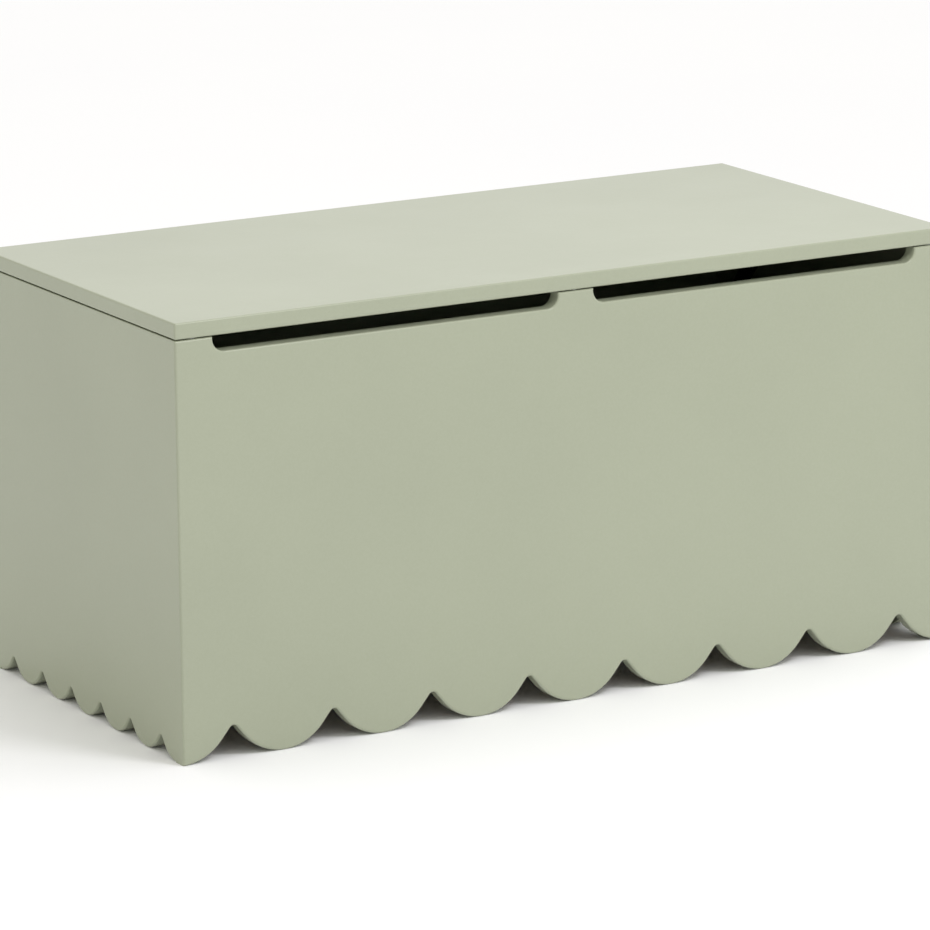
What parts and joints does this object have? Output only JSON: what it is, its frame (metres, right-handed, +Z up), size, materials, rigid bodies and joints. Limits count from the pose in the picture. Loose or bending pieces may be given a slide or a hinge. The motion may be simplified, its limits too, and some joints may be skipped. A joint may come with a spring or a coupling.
{
  "type": "toy box",
  "caption": "wooden toy box with a hinged flush lid, scalloped lower edge and two finger slots under the lid, painted sage green",
  "frame": {"origin": "middle of the footprint on the floor, hinge knuckles included", "axes": "+X to the box's right seen from the front, +Y to the back, +Z up; the lid is shut"},
  "size_m": [0.83, 0.4068, 0.408],
  "materials": {
    "painted_board": "satin sage-green paint on board",
    "painted_bottom": "satin paint on board",
    "pine": "planed, unpainted",
    "beech": "fluted dowel",
    "zinc": "zinc die-cast, dull",
    "bumper_pad": "soft clear-grey",
    "hinge_steel": "zinc plated",
    "screw_steel": "zinc plated",
    "bracket_steel": "black powder coat",
    "strut_black": "semi-gloss black",
    "strut_chrome": "hard chrome",
    "strut_plastic": "glass-filled nylon"
  },
  "bodies": {
    "case": {"back_batten": "pine", "back_panel": "painted_board", "batten_screws": "screw_steel", "bottom_panel": "painted_bottom", "bottom_screws": "screw_steel", "cam_bolts": "screw_steel", "cam_locks": "zinc", "corner_dowels": "beech", "front_batten": "pine", "front_panel": "painted_board", "hinge_1_fixed_leaf": "hinge_steel", "hinge_1_pin": "hinge_steel", "hinge_2_fixed_leaf": "hinge_steel", "hinge_2_pin": "hinge_steel", "hinge_3_fixed_leaf": "hinge_steel", "hinge_3_pin": "hinge_steel", "hinge_fixed_screws": "screw_steel", "left_batten": "pine", "left_side_panel": "painted_board", "right_batten": "pine", "right_side_panel": "painted_board", "side_bracket_screws": "screw_steel", "strut_side_ball_stud_left": "strut_chrome", "strut_side_ball_stud_right": "strut_chrome", "strut_side_bracket_left": "bracket_steel", "strut_side_bracket_right": "bracket_steel"},
    "lid": {"hinge_1_lid_leaf": "hinge_steel", "hinge_2_lid_leaf": "hinge_steel", "hinge_3_lid_leaf": "hinge_steel", "hinge_lid_screws": "screw_steel", "lid": "painted_board", "lid_bracket_screws": "screw_steel", "lid_bumpers": "bumper_pad", "strut_lid_ball_stud_left": "strut_chrome", "strut_lid_ball_stud_right": "strut_chrome", "strut_lid_bracket_left": "bracket_steel", "strut_lid_bracket_right": "bracket_steel"},
    "left_strut_tube": {"strut_tube_left": "strut_black", "strut_foot_socket_left": "strut_plastic", "strut_gland_left": "strut_plastic"},
    "left_strut_rod": {"strut_rod_left": "strut_chrome", "strut_piston_left": "strut_plastic", "strut_head_socket_left": "strut_plastic"},
    "right_strut_tube": {"strut_tube_right": "strut_black", "strut_foot_socket_right": "strut_plastic", "strut_gland_right": "strut_plastic"},
    "right_strut_rod": {"strut_rod_right": "strut_chrome", "strut_piston_right": "strut_plastic", "strut_head_socket_right": "strut_plastic"}
  },
  "joints": [
    {"name": "lid_hinge", "type": "hinge", "parent": "case", "child": "lid", "pos_m": [0, 0.20015, 0.3925], "axis": [-1, 0, 0], "range_deg": [0, 80]},
    {"name": "left_strut_foot", "type": "hinge", "parent": "case", "child": "left_strut_tube", "pos_m": [-0.388, 0.16955, 0.24565], "axis": [-1, 0, 0], "range_deg": [0, 40]},
    {"name": "left_strut_head", "type": "hinge", "parent": "lid", "child": "left_strut_rod", "pos_m": [-0.388, 0.05076, 0.379], "axis": [-1, 0, 0], "range_deg": [-40, 0]},
    {"name": "right_strut_foot", "type": "hinge", "parent": "case", "child": "right_strut_tube", "pos_m": [0.388, 0.16955, 0.24565], "axis": [-1, 0, 0], "range_deg": [0, 40]},
    {"name": "right_strut_head", "type": "hinge", "parent": "lid", "child": "right_strut_rod", "pos_m": [0.388, 0.05076, 0.379], "axis": [-1, 0, 0], "range_deg": [-40, 0]}
  ],
  "couplings": [
    {"joint": "left_strut_foot", "follows": "lid_hinge", "ratio": 0.5},
    {"joint": "left_strut_head", "follows": "lid_hinge", "ratio": -0.5},
    {"joint": "right_strut_foot", "follows": "lid_hinge", "ratio": 0.5},
    {"joint": "right_strut_head", "follows": "lid_hinge", "ratio": -0.5}
  ]
}
